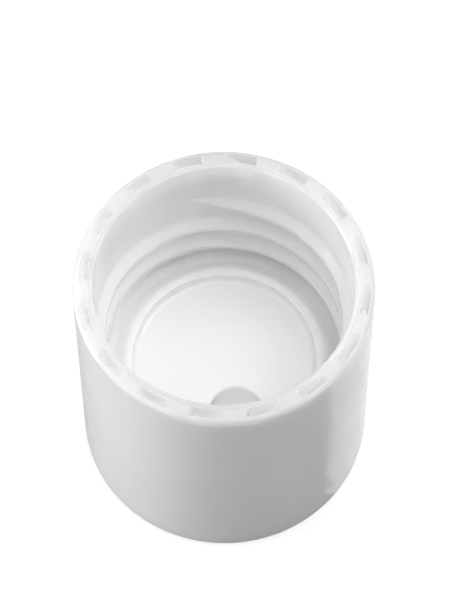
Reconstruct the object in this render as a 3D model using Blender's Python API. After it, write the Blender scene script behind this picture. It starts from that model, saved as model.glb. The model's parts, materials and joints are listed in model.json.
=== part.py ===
# Disc top cap: a screw cap for a bottle whose round disc tips up on two pivots.
# It is modelled as it lies on a table, disc side down and threaded mouth up.
# Metres, +Z up. The origin is on the cap's axis, on the face of the ring round the disc.
# Depths below that ring face therefore run along +Z. The spout points along -Y.

import math

import bmesh
import bpy
from mathutils import Matrix, Vector

# Threaded socket, sized for a 20 mm bottle neck
BORE_RADIUS = 0.01010
NECK_WALL = 0.00155
NECK_DEPTH = 0.01330
BORE_FILLET = 0.00030
THREAD_PITCH = 0.003175
THREAD_HEIGHT = 0.00076
THREAD_CREST_WIDTH = 0.00055
THREAD_OPEN_FLANK_DEG = 45.0
THREAD_LOAD_FLANK_DEG = 10.0
THREAD_START_DEPTH = 0.00460
THREAD_START_DEG = 95.0
THREAD_RUN_IN_DEG = 31.0
THREAD_RUN_OUT_DEG = 30.0
THREAD_ROOT_OVERLAP = 0.00030
THREAD_END_SINK = 0.05

# Open rim, with a ring of one-way notches in it
RIM_OUTER_FILLET = 0.00045
RIM_INNER_FILLET = 0.00020
NOTCH_COUNT = 16
NOTCH_DEPTH = 0.00160
NOTCH_SPAN_DEG = 13.6
NOTCH_STEEP_DEG = 1.3
NOTCH_FLOOR_DEG = 3.5
NOTCH_PHASE_DEG = -3.3
NOTCH_INNER_LIP = 0.00044
NOTCH_RUN_OUT = 0.05

# Deck across the cap, with the sealing ring on its bore side
DECK_THICKNESS = 0.00150
SEAL_HEIGHT = 0.00087
SEAL_WIDTH = 0.00105
GUTTER_WIDTH = 0.00166
SEAL_OUTER_FILLET = 0.00050
SEAL_INNER_FILLET = 0.00025

# Chamber under the disc, and the ring round it
CHAMBER_DEPTH = 0.00890
TOP_RING_WIDTH = 0.00215
TOP_RING_FILLET = 0.00035
TOP_RING_CHAMFER = 0.00020

# Disc
DISC_GAP = 0.00035
DISC_SINK = 0.00035
PLATE_THICKNESS = 0.00140
PLATE_EDGE_FILLET = 0.00025
DIMPLE_RADIUS = 0.00390
DIMPLE_DEPTH = 0.00060
DIMPLE_MARGIN = 0.00100
DIMPLE_OVERREACH = 1.25

# Pivots: trunnions on the disc, sockets in the ring
PIVOT_DROP = 0.00025
TRUNNION_RADIUS = 0.00080
TRUNNION_LENGTH = 0.00095
TRUNNION_CHAMFER = 0.00025
PIVOT_CLEARANCE = 0.00030
EAR_WIDTH = 0.00320
EAR_THICKNESS = 0.00130
EAR_FOOT = 0.00020
SNAP_GROOVE_DEPTH = 0.00030
SNAP_GROOVE_GAP = 0.00015

# Orifice in the deck, its collar, and the plug that shuts it
ORIFICE_RADIUS = 0.00220
ORIFICE_SEAL_GAP = 0.00064
COLLAR_WALL = 0.00090
SEAT_GAP = 0.00030
PLUG_NECK_RADIUS = 0.00115
PLUG_TIP_DROP = 0.00070
PLUG_TIP_HEIGHT = 0.00050
PLUG_TIP_TAPER = 0.00040

# Spout block under the disc, with its channel
SPOUT_DROP = 0.00265
SPOUT_MARGIN = 0.00020
CHANNEL_RADIUS = 0.00100
CHANNEL_ROOF = 0.00015
INLET_WIDTH = 0.00220
INLET_GAP = 0.00015

# Ribs that stop the disc's rear when it is pressed
TILT_DEG = 20.0
STOP_RIB_COUNT = 3
STOP_RIB_SPREAD_DEG = 28.0
STOP_RIB_WIDTH = 0.00110
STOP_RIB_REACH = 0.00160
STOP_GAP = 0.00030

# Roundness of the turned faces
SEGMENTS = 72
ARC_STEPS = 3
NOTCH_STEPS = 3
SMALL_SEGMENTS = 24
COLLAR_SEGMENTS = 32
DIMPLE_SEGMENTS = 48
DIMPLE_STEPS = 8
OVERCUT = 0.00040

# Radii and heights that follow from the sizes above
SKIRT_RADIUS = BORE_RADIUS + NECK_WALL
RECESS_RADIUS = SKIRT_RADIUS - TOP_RING_WIDTH
DISC_RADIUS = RECESS_RADIUS - DISC_GAP
SEAL_OUTER_RADIUS = BORE_RADIUS - GUTTER_WIDTH
SEAL_INNER_RADIUS = SEAL_OUTER_RADIUS - SEAL_WIDTH
ORIFICE_OFFSET = SEAL_INNER_RADIUS - ORIFICE_SEAL_GAP - ORIFICE_RADIUS
COLLAR_RADIUS = ORIFICE_RADIUS + COLLAR_WALL
DECK_TOP_Z = CHAMBER_DEPTH + DECK_THICKNESS
SEAL_TOP_Z = DECK_TOP_Z + SEAL_HEIGHT
CAP_HEIGHT = SEAL_TOP_Z + NECK_DEPTH
PLATE_UNDER_Z = DISC_SINK + PLATE_THICKNESS
PIVOT_Z = PLATE_UNDER_Z + PIVOT_DROP
SPOUT_UNDER_Z = PLATE_UNDER_Z + SPOUT_DROP
COLLAR_MOUTH_Z = SPOUT_UNDER_Z + SEAT_GAP
CHANNEL_Z = PLATE_UNDER_Z + CHANNEL_ROOF + CHANNEL_RADIUS


def clear_scene():
    """Remove whatever the file holds."""
    for item in list(bpy.data.objects):
        bpy.data.objects.remove(item, do_unlink=True)


def white_plastic(name, roughness):
    """White moulded plastic with a light gloss."""
    material = bpy.data.materials.new(name)
    material.use_nodes = True
    shader = material.node_tree.nodes["Principled BSDF"]
    shader.inputs["Base Color"].default_value = (0.86, 0.86, 0.86, 1.0)
    shader.inputs["Roughness"].default_value = roughness
    shader.inputs["Metallic"].default_value = 0.0
    return material


def new_object(name, bm, material=None):
    """Turn a bmesh into an object with outward faces."""
    bmesh.ops.recalc_face_normals(bm, faces=bm.faces)
    mesh = bpy.data.meshes.new(name)
    bm.to_mesh(mesh)
    bm.free()
    mesh.shade_smooth()
    mesh.set_sharp_from_angle(angle=math.radians(30.0))
    item = bpy.data.objects.new(name, mesh)
    bpy.context.collection.objects.link(item)
    if material:
        mesh.materials.append(material)
    return item


def as_tool(item):
    """Show a cutter or an addition only as wires."""
    item.hide_render = True
    item.display_type = "WIRE"
    return item


def boolean(item, tool, operation):
    """Join, cut or trim an object with another one."""
    modifier = item.modifiers.new(tool.name, "BOOLEAN")
    modifier.object = as_tool(tool)
    modifier.operation = operation
    modifier.solver = "EXACT"


def arc(centre_r, centre_z, radius, start_deg, end_deg, steps=ARC_STEPS):
    """Points of a round corner in a turned profile, as (radius, height)."""
    points = []
    for step in range(steps + 1):
        angle = math.radians(start_deg + (end_deg - start_deg) * step / steps)
        points.append((centre_r + radius * math.cos(angle), centre_z + radius * math.sin(angle)))
    return points


def turned(profile, segments):
    """Spin about Z a profile that starts and ends on the axis."""
    bm = bmesh.new()
    verts = [bm.verts.new((radius, 0.0, height)) for radius, height in profile]
    edges = [bm.edges.new(pair) for pair in zip(verts, verts[1:])]
    bmesh.ops.spin(bm, geom=verts + edges, cent=(0, 0, 0), axis=(0, 0, 1),
                   angle=math.tau, steps=segments, use_merge=True)
    bmesh.ops.remove_doubles(bm, verts=bm.verts, dist=0.000001)
    return bm


def prism(x_range, y_range, z_range):
    """A box given by its ranges along X, Y and Z."""
    bm = bmesh.new()
    size = Vector((x_range[1] - x_range[0], y_range[1] - y_range[0], z_range[1] - z_range[0]))
    middle = Vector((sum(x_range), sum(y_range), sum(z_range))) / 2
    bmesh.ops.create_cube(bm, size=1.0)
    bmesh.ops.scale(bm, vec=size, verts=bm.verts)
    bmesh.ops.translate(bm, vec=middle, verts=bm.verts)
    return bm


def rod(radius, start, end, segments=SMALL_SEGMENTS):
    """A round bar between two points."""
    bm = bmesh.new()
    line = Vector(end) - Vector(start)
    turn = Vector((0, 0, 1)).rotation_difference(line).to_matrix().to_4x4()
    place = Matrix.Translation((Vector(start) + Vector(end)) / 2) @ turn
    bmesh.ops.create_cone(bm, cap_ends=True, segments=segments, radius1=radius,
                          radius2=radius, depth=line.length, matrix=place)
    return bm


def body_profile():
    """Half section of the body, from the axis under the deck round to the axis above it."""
    outer, inner = SEAL_OUTER_FILLET, SEAL_INNER_FILLET
    points = [(0.0, CHAMBER_DEPTH), (RECESS_RADIUS, CHAMBER_DEPTH)]
    points += [(RECESS_RADIUS, TOP_RING_CHAMFER), (RECESS_RADIUS + TOP_RING_CHAMFER, 0.0)]
    points += arc(SKIRT_RADIUS - TOP_RING_FILLET, TOP_RING_FILLET, TOP_RING_FILLET, -90, 0)
    points += arc(SKIRT_RADIUS - RIM_OUTER_FILLET, CAP_HEIGHT - RIM_OUTER_FILLET, RIM_OUTER_FILLET, 0, 90)
    points += arc(BORE_RADIUS + RIM_INNER_FILLET, CAP_HEIGHT - RIM_INNER_FILLET, RIM_INNER_FILLET, 90, 180)
    points += arc(BORE_RADIUS - BORE_FILLET, DECK_TOP_Z + BORE_FILLET, BORE_FILLET, 0, -90)
    points += [(SEAL_OUTER_RADIUS, DECK_TOP_Z)]
    points += arc(SEAL_OUTER_RADIUS - outer, SEAL_TOP_Z - outer, outer, 0, 90)
    points += arc(SEAL_INNER_RADIUS + inner, SEAL_TOP_Z - inner, inner, 90, 180)
    points += [(SEAL_INNER_RADIUS, DECK_TOP_Z), (0.0, DECK_TOP_Z)]
    return points


def ring_at(bm, section, azimuth):
    """Corners of a section, given as (radius, height), turned to an azimuth."""
    return [bm.verts.new((radius * math.cos(azimuth), radius * math.sin(azimuth), height))
            for radius, height in section]


def close_bar(bm, rings):
    """Skin a bar along its four-cornered rings and close its two ends."""
    for ring, following in zip(rings, rings[1:]):
        for side in range(4):
            after = (side + 1) % 4
            bm.faces.new((ring[side], ring[after], following[after], following[side]))
    bm.faces.new(rings[0])
    bm.faces.new(list(reversed(rings[-1])))


def thread_section(height_share, upper_foot_z):
    """Four points of the ridge at one station: root, crest, crest, root."""
    open_slope = math.tan(math.radians(THREAD_OPEN_FLANK_DEG))
    load_slope = math.tan(math.radians(THREAD_LOAD_FLANK_DEG))
    height = THREAD_HEIGHT * height_share
    crest_width = THREAD_CREST_WIDTH * max(height_share, THREAD_END_SINK)
    root = BORE_RADIUS + THREAD_ROOT_OVERLAP
    crest = BORE_RADIUS - height
    crest_top = upper_foot_z - height * open_slope
    crest_low = crest_top - crest_width
    return [(root, upper_foot_z + THREAD_ROOT_OVERLAP * open_slope), (crest, crest_top),
            (crest, crest_low), (root, crest_low - (root - crest) * load_slope)]


def thread_ridge():
    """Right-hand ridge that grows out of the bore wall and sinks into the deck."""
    start_z = CAP_HEIGHT - THREAD_START_DEPTH
    end_z = DECK_TOP_Z - OVERCUT / 2
    turns = (start_z - end_z) / THREAD_PITCH
    stations = round(turns * SEGMENTS)
    bm = bmesh.new()
    rings = []
    for station in range(stations + 1):
        turned_deg = 360.0 * turns * station / stations
        left_deg = 360.0 * turns - turned_deg
        share = min(math.sqrt(turned_deg / THREAD_RUN_IN_DEG), left_deg / THREAD_RUN_OUT_DEG)
        share = min(1.0, share - THREAD_END_SINK)
        foot_z = start_z - THREAD_PITCH * turned_deg / 360.0
        azimuth = math.radians(THREAD_START_DEG - turned_deg)
        rings.append(ring_at(bm, thread_section(share, foot_z), azimuth))
    close_bar(bm, rings)
    return bm


def notch_floor():
    """Floor of one notch as (degrees past its steep end's top, height): steep end, level, ramp."""
    rise = NOTCH_DEPTH * NOTCH_RUN_OUT
    level_z = CAP_HEIGHT - NOTCH_DEPTH
    ramp_deg = NOTCH_STEEP_DEG + NOTCH_FLOOR_DEG
    floor = [(0.0, CAP_HEIGHT + rise), (NOTCH_STEEP_DEG, level_z)]
    for step in range(NOTCH_STEPS + 1):
        share = step / NOTCH_STEPS
        past_deg = ramp_deg + (NOTCH_SPAN_DEG - ramp_deg) * share
        floor.append((past_deg, level_z + (NOTCH_DEPTH + rise) * share))
    return floor


def notch_cutters():
    """One-way pockets: each floor falls clockwise, seen from above, to a steep end."""
    inner = BORE_RADIUS + NOTCH_INNER_LIP
    outer = SKIRT_RADIUS - RIM_OUTER_FILLET
    bm = bmesh.new()
    for number in range(NOTCH_COUNT):
        first_deg = NOTCH_PHASE_DEG + 360.0 * number / NOTCH_COUNT
        rings = []
        for past_deg, floor_z in notch_floor():
            corners = [(inner, floor_z), (outer, floor_z), (outer, CAP_HEIGHT + OVERCUT),
                       (inner, CAP_HEIGHT + OVERCUT)]
            rings.append(ring_at(bm, corners, math.radians(first_deg + past_deg)))
        close_bar(bm, rings)
    return bm


def collar():
    """Tube that rises from the deck to the plug's seat."""
    root_z = CHAMBER_DEPTH + DECK_THICKNESS / 2
    return rod(COLLAR_RADIUS, (0, -ORIFICE_OFFSET, COLLAR_MOUTH_Z), (0, -ORIFICE_OFFSET, root_z),
               COLLAR_SEGMENTS)


def orifice_cutter():
    """Hole through the deck and the collar."""
    return rod(ORIFICE_RADIUS, (0, -ORIFICE_OFFSET, COLLAR_MOUTH_Z - OVERCUT),
               (0, -ORIFICE_OFFSET, DECK_TOP_Z + OVERCUT), COLLAR_SEGMENTS)


def stop_ribs():
    """Ribs on the chamber's rear wall that the pressed disc comes down on."""
    tilt = math.radians(TILT_DEG)
    rear_drop = DISC_RADIUS * math.sin(tilt) - PIVOT_DROP * math.cos(tilt)
    rib_z = PIVOT_Z + rear_drop + STOP_GAP
    bm = bmesh.new()
    for number in range(STOP_RIB_COUNT):
        offset = number - (STOP_RIB_COUNT - 1) / 2
        turn = Matrix.Rotation(math.radians(STOP_RIB_SPREAD_DEG * offset), 4, "Z")
        rib = prism((-STOP_RIB_WIDTH / 2, STOP_RIB_WIDTH / 2),
                    (RECESS_RADIUS - STOP_RIB_REACH, RECESS_RADIUS + OVERCUT),
                    (rib_z, CHAMBER_DEPTH + OVERCUT))
        bmesh.ops.transform(rib, matrix=turn, verts=rib.verts)
        mesh = bpy.data.meshes.new("rib")
        rib.to_mesh(mesh)
        rib.free()
        bm.from_mesh(mesh)
        bpy.data.meshes.remove(mesh)
    return bm


def pivot_socket(side):
    """Blind hole for a trunnion in the ring's wall."""
    radius = TRUNNION_RADIUS + PIVOT_CLEARANCE
    end = DISC_RADIUS + TRUNNION_LENGTH + PIVOT_CLEARANCE
    return rod(radius, (side * (RECESS_RADIUS - OVERCUT), 0, PIVOT_Z), (side * end, 0, PIVOT_Z))


def snap_groove(side):
    """Shallow groove that leads a trunnion into its socket."""
    half_width = TRUNNION_RADIUS + SNAP_GROOVE_GAP
    near = side * (RECESS_RADIUS - OVERCUT)
    far = side * (RECESS_RADIUS + SNAP_GROOVE_DEPTH)
    return prism(sorted((near, far)), (-half_width, half_width), (-OVERCUT, PIVOT_Z))


def make_body(material):
    """Skirt, deck, thread, notched rim, collar and pivot sockets, moulded as one piece."""
    body = new_object("cap_body", turned(body_profile(), SEGMENTS), material)
    boolean(body, new_object("add_thread", thread_ridge()), "UNION")
    boolean(body, new_object("add_collar", collar()), "UNION")
    boolean(body, new_object("add_stop_ribs", stop_ribs()), "UNION")
    boolean(body, new_object("cut_orifice", orifice_cutter()), "DIFFERENCE")
    boolean(body, new_object("cut_notches", notch_cutters()), "DIFFERENCE")
    for name, side in (("left", -1), ("right", 1)):
        boolean(body, new_object("cut_groove_" + name, snap_groove(side)), "DIFFERENCE")
        boolean(body, new_object("cut_socket_" + name, pivot_socket(side)), "DIFFERENCE")
    return body


def plate_profile():
    """Half section of the disc's round plate."""
    edge = PLATE_EDGE_FILLET
    points = [(0.0, DISC_SINK)]
    points += arc(DISC_RADIUS - edge, DISC_SINK + edge, edge, -90, 0)
    points += [(DISC_RADIUS, PLATE_UNDER_Z), (0.0, PLATE_UNDER_Z)]
    return points


def disc_limits():
    """Round bar along the pivot axis: nothing on the disc reaches past it when it tips."""
    return rod(DISC_RADIUS, (-SKIRT_RADIUS, 0, PIVOT_Z), (SKIRT_RADIUS, 0, PIVOT_Z), SEGMENTS)


def spout_block():
    """Block under the front of the disc that carries the channel and the plug."""
    half_width = COLLAR_RADIUS + SPOUT_MARGIN
    rear = -(ORIFICE_OFFSET - COLLAR_RADIUS - SPOUT_MARGIN)
    root_z = PLATE_UNDER_Z - PLATE_THICKNESS / 2
    return prism((-half_width, half_width), (-SKIRT_RADIUS, rear), (root_z, SPOUT_UNDER_Z))


def ear(side):
    """Lug under the disc's edge that carries a trunnion."""
    inner = side * (DISC_RADIUS - EAR_THICKNESS)
    outer = side * SKIRT_RADIUS
    root_z = PLATE_UNDER_Z - PLATE_THICKNESS / 2
    foot_z = PIVOT_Z + TRUNNION_RADIUS + EAR_FOOT
    return prism(sorted((inner, outer)), (-EAR_WIDTH / 2, EAR_WIDTH / 2), (root_z, foot_z))


def trunnion(side):
    """Pivot pin with a chamfered end, which snaps past the ring."""
    root = DISC_RADIUS - EAR_THICKNESS / 2
    end = DISC_RADIUS + TRUNNION_LENGTH
    profile = [(0.0, root), (TRUNNION_RADIUS, root), (TRUNNION_RADIUS, end - TRUNNION_CHAMFER),
               (TRUNNION_RADIUS - TRUNNION_CHAMFER, end), (0.0, end)]
    bm = turned(profile, SMALL_SEGMENTS)
    place = Matrix.Translation((0, 0, PIVOT_Z)) @ Matrix.Rotation(side * math.pi / 2, 4, "Y")
    bmesh.ops.transform(bm, matrix=place, verts=bm.verts)
    return bm


def plug():
    """Valve plug: a neck and a wider, tapered tip that shuts the collar's bore."""
    tip_radius = ORIFICE_RADIUS - PIVOT_CLEARANCE
    tip_z = SPOUT_UNDER_Z + PLUG_TIP_DROP
    end_z = tip_z + PLUG_TIP_HEIGHT
    profile = [(0.0, SPOUT_UNDER_Z - OVERCUT), (PLUG_NECK_RADIUS, SPOUT_UNDER_Z - OVERCUT),
               (PLUG_NECK_RADIUS, tip_z - (tip_radius - PLUG_NECK_RADIUS) / 2),
               (tip_radius, tip_z), (tip_radius - PLUG_TIP_TAPER, end_z), (0.0, end_z)]
    bm = turned(profile, COLLAR_SEGMENTS)
    bmesh.ops.translate(bm, vec=(0.0, -ORIFICE_OFFSET, 0.0), verts=bm.verts)
    return bm


def channel_cutter():
    """Channel from above the orifice out of the disc's front edge."""
    rear = -ORIFICE_OFFSET - PLUG_NECK_RADIUS
    return rod(CHANNEL_RADIUS, (0, rear, CHANNEL_Z), (0, -SKIRT_RADIUS, CHANNEL_Z))


def inlet_cutter():
    """Slot beside the plug's neck, from inside the collar up to the channel."""
    near = -ORIFICE_OFFSET - PLUG_NECK_RADIUS - INLET_GAP
    far = -ORIFICE_OFFSET - ORIFICE_RADIUS + INLET_GAP
    heights = (CHANNEL_Z, SPOUT_UNDER_Z + OVERCUT / 4)
    return prism((-INLET_WIDTH / 2, INLET_WIDTH / 2), (far, near), heights)


def dimple_cutter():
    """Ball that presses the thumb dimple into the disc's rear."""
    ball = (DIMPLE_RADIUS ** 2 + DIMPLE_DEPTH ** 2) / (2 * DIMPLE_DEPTH)
    rear = DISC_RADIUS - DIMPLE_MARGIN - DIMPLE_RADIUS
    edge_deg = math.degrees(math.asin(DIMPLE_RADIUS / ball)) * DIMPLE_OVERREACH
    profile = [(0.0, DISC_SINK - ball)]
    profile += arc(0.0, DISC_SINK + DIMPLE_DEPTH - ball, ball, 90 - edge_deg, 90, DIMPLE_STEPS)
    profile[-1] = (0.0, DISC_SINK + DIMPLE_DEPTH)
    bm = turned(profile, DIMPLE_SEGMENTS)
    bmesh.ops.translate(bm, vec=(0.0, rear, 0.0), verts=bm.verts)
    return bm


def make_disc(material):
    """Plate, spout block, plug and trunnions, moulded as one piece."""
    pivot = bpy.data.objects.new("disc_pivot", None)
    bpy.context.collection.objects.link(pivot)
    pivot.location = (0.0, 0.0, PIVOT_Z)
    disc = new_object("disc", turned(plate_profile(), SEGMENTS), material)
    blocks = new_object("add_spout_block", spout_block())
    boolean(blocks, new_object("add_ear_left", ear(-1)), "UNION")
    boolean(blocks, new_object("add_ear_right", ear(1)), "UNION")
    reach = rod(DISC_RADIUS - OVERCUT / 20, (0, 0, DISC_SINK), (0, 0, CHAMBER_DEPTH), SEGMENTS)
    boolean(blocks, new_object("trim_reach", reach), "INTERSECT")
    boolean(blocks, new_object("trim_swing", disc_limits()), "INTERSECT")
    boolean(disc, blocks, "UNION")
    boolean(disc, new_object("add_plug", plug()), "UNION")
    for name, side in (("left", -1), ("right", 1)):
        boolean(disc, new_object("add_trunnion_" + name, trunnion(side)), "UNION")
    boolean(disc, new_object("cut_channel", channel_cutter()), "DIFFERENCE")
    boolean(disc, new_object("cut_inlet", inlet_cutter()), "DIFFERENCE")
    boolean(disc, new_object("cut_dimple", dimple_cutter()), "DIFFERENCE")
    bpy.context.view_layer.update()
    disc.parent = pivot
    disc.matrix_parent_inverse = pivot.matrix_world.inverted()
    return disc


clear_scene()
make_body(white_plastic("body_plastic", 0.28))
make_disc(white_plastic("disc_plastic", 0.28))
bpy.context.view_layer.update()
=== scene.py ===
# %% [markdown]
# # A disc top cap, standing on its disc with the threaded mouth up
#
# The real cap is two polypropylene mouldings. The body has a screw thread inside, a notched rim,
# and a deck across the middle with a sealing ring and a small pouring hole. The disc sits in the
# far end and rocks on two pivots. This lesson loads the solid model of both, dresses each with a
# fine surface and a plastic finish, and lights the cap the way a catalogue picture does.

# %% Load the solid model
import json
import math

import bmesh
import bpy
import numpy as np
from mathutils import Matrix, Vector

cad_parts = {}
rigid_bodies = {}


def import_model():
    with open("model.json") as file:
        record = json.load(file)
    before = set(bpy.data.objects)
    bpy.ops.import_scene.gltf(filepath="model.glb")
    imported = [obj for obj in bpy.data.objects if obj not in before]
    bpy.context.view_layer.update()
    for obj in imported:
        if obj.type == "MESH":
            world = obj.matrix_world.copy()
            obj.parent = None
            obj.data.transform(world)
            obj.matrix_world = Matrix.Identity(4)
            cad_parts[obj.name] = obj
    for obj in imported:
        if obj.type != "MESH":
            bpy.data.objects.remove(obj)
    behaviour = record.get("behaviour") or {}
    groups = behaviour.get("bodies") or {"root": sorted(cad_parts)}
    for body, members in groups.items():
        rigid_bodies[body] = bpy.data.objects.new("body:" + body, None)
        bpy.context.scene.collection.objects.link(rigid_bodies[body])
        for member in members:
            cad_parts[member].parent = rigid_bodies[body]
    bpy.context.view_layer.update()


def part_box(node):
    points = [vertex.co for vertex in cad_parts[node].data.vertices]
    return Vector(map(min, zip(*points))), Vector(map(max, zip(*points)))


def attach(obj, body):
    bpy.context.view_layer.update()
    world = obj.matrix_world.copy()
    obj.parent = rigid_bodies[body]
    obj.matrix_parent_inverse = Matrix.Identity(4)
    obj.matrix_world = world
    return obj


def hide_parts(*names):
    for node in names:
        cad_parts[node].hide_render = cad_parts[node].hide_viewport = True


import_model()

# %% [markdown]
# ## Sizes
#
# Two sizes come straight from the solid body: how wide and how tall it is. The others are the
# neck's own numbers, in metres, because a cap is drawn from the bottle neck that it fits. `MM`
# keeps them readable.

# %% Sizes of the moulding
MM = 0.001
_, high_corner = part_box("cap_body")
skirt_radius = high_corner.x
cap_height = high_corner.z

bore_radius = 10.10 * MM
deck_top = 10.40 * MM
deck_under = 8.90 * MM
seal_top = 11.27 * MM
seal_outer = 8.44 * MM
seal_inner = 7.39 * MM
recess_radius = 9.50 * MM
orifice_radius = 2.20 * MM
orifice_offset = 4.55 * MM
collar_radius = 3.10 * MM
collar_mouth = 4.70 * MM
print(f"cap {2 * skirt_radius / MM:.1f} mm wide, {cap_height / MM:.2f} mm tall")

# %% [markdown]
# ## Camera
#
# A catalogue photographer looks down into a small cap with a long lens, so that the round rim
# stays a clean ellipse. The camera stands 24 radii away and 66 degrees above the horizon, a
# little to the left of the pouring hole. Its place is worked out from those angles, and its
# frame from three axes: right, up and back.

# %% Camera
IMAGE_HEIGHT_PX = 600
FOCAL_PX = 3351.8
CAMERA_RADII = 24.0
CAMERA_ELEVATION = math.radians(66.0)
CAMERA_AZIMUTH = math.radians(-101.7)
CAMERA_AIM = math.radians(64.05)
CAMERA_PAN = math.radians(0.04)
CAMERA_ROLL = math.radians(-0.35)
SENSOR_WIDTH_MM = 36.0
NEAREST_SEEN = 0.01


def camera_frame():
    """Right, up and back axes of the camera, and its place."""
    turn = Matrix.Rotation(CAMERA_AZIMUTH + math.pi / 2, 3, "Z")
    distance = CAMERA_RADII * skirt_radius
    place = Vector((0, -distance * math.cos(CAMERA_ELEVATION), distance * math.sin(CAMERA_ELEVATION)))
    level = math.cos(CAMERA_AIM)
    ahead = Vector((math.sin(CAMERA_PAN) * level, math.cos(CAMERA_PAN) * level, -math.sin(CAMERA_AIM)))
    right = ahead.cross(Vector((0, 0, 1))).normalized()
    up = right.cross(ahead)
    tilted_right = right * math.cos(CAMERA_ROLL) + up * math.sin(CAMERA_ROLL)
    tilted_up = up * math.cos(CAMERA_ROLL) - right * math.sin(CAMERA_ROLL)
    return turn @ tilted_right, turn @ tilted_up, turn @ -ahead, turn @ place


camera = bpy.data.objects.new("camera", bpy.data.cameras.new("camera"))
bpy.context.collection.objects.link(camera)
right, up, back, place = camera_frame()
axes = Matrix((right, up, back)).transposed().to_4x4()
camera.matrix_world = Matrix.Translation(place) @ axes
camera.data.sensor_width = SENSOR_WIDTH_MM
camera.data.lens = FOCAL_PX * camera.data.sensor_width / IMAGE_HEIGHT_PX
camera.data.clip_start = NEAREST_SEEN
bpy.context.scene.camera = camera
print(f"camera {place.length * 1000:.0f} mm away, lens {camera.data.lens:.0f} mm")

# %% [markdown]
# ## Profiles with rounded corners
#
# Everything moulded has rounded corners, and a round corner is what catches a highlight. It is
# easiest to draw a profile as sharp corners and give each one a radius. The helper cuts the
# corner back along both sides and puts an arc there. Two extra points close beside each arc
# keep the smooth shading of the arc from spilling over the flat next to it.

# %% Rounded corners
CORNER_STEPS = 5
SUPPORT = 0.03 * MM


def round_corner(before, corner, after, radius, steps):
    """Points of an arc that rounds one corner, with a support point at each end."""
    to_before = (before - corner) / np.linalg.norm(before - corner)
    to_after = (after - corner) / np.linalg.norm(after - corner)
    half_angle = math.acos(np.clip(np.dot(to_before, to_after), -1, 1)) / 2
    cut = radius / math.tan(half_angle)
    bisector = (to_before + to_after) / np.linalg.norm(to_before + to_after)
    centre = corner + bisector * radius / math.sin(half_angle)
    start = corner + to_before * cut - centre
    end = corner + to_after * cut - centre
    sweep = math.pi - 2 * half_angle
    points = [corner + to_before * (cut + SUPPORT)]
    for step in range(steps + 1):
        share = step / steps
        arm = (math.sin((1 - share) * sweep) * start + math.sin(share * sweep) * end) / math.sin(sweep)
        points.append(centre + arm)
    points.append(corner + to_after * (cut + SUPPORT))
    return points


def rounded(corners, steps=CORNER_STEPS):
    """Outline of (x, y, radius) corners. A corner of radius 0 stays sharp."""
    spots = [np.array(corner[:2], dtype=float) for corner in corners]
    points = []
    for number, (spot, corner) in enumerate(zip(spots, corners)):
        if corner[2] == 0:
            points.append(spot)
        else:
            points += round_corner(spots[number - 1], spot, spots[number + 1], corner[2], steps)
    return np.array(points)


print("a square corner rounded:", len(rounded([(0, 0, 0), (1, 0, 0.2), (1, 1, 0)])), "points")

# %% [markdown]
# ## Columns round the cap
#
# The body is round, so its mesh is rows of rings that share the same columns. The rim's notches
# repeat sixteen times, and each has a steep end, a level floor and a ramp. The columns crowd
# together where the floor of a notch bends, in a pattern that repeats with the notches.

# %% Columns
NOTCH_COUNT = 16
NOTCH_PHASE_DEG = -3.3
NOTCH_SPAN_DEG = 13.6
NOTCH_STEEP_DEG = 2.0
NOTCH_FLOOR_END_DEG = 4.8
NOTCH_PERIOD_DEG = 360.0 / NOTCH_COUNT
THREAD_START_DEG = 95.0
STEEP_STEPS_DEG = [-0.20, 0.0, 0.25, 0.60, 0.95, 1.30, 1.65, 2.00, 2.20]
FLOOR_STEPS_DEG = [3.0, 3.9, 4.6, 4.8, 5.0]
RAMP_STEPS_DEG = [6.2, 7.6, 9.0, 10.4, 11.8, 13.0, 13.4, 13.6, 13.8]
LAND_STEPS_DEG = [14.9, 16.5, 18.1, 19.7, 21.2]

pattern = STEEP_STEPS_DEG + FLOOR_STEPS_DEG + RAMP_STEPS_DEG + LAND_STEPS_DEG
columns_deg = np.array([NOTCH_PHASE_DEG + NOTCH_PERIOD_DEG * notch + step
                        for notch in range(NOTCH_COUNT) for step in pattern])
azimuths = np.radians(columns_deg)
column_count = len(azimuths)
start_column = int(np.argmin(np.abs(columns_deg - THREAD_START_DEG)))
print(column_count, "columns, thread starts at column", start_column, "at", columns_deg[start_column])

# %% [markdown]
# ## A small moulding kit
#
# Rings and skins are all the body needs. `Moulding` keeps the points and faces while the body
# grows from the deck up the bore, over the rim and down the skirt. The deck has a hole that is
# off centre, so its two flat sides are filled between a big loop and a small one.

# %% Moulding kit
MERGE = 0.0002 * MM
SHARP_ANGLE = math.radians(32.0)


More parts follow.
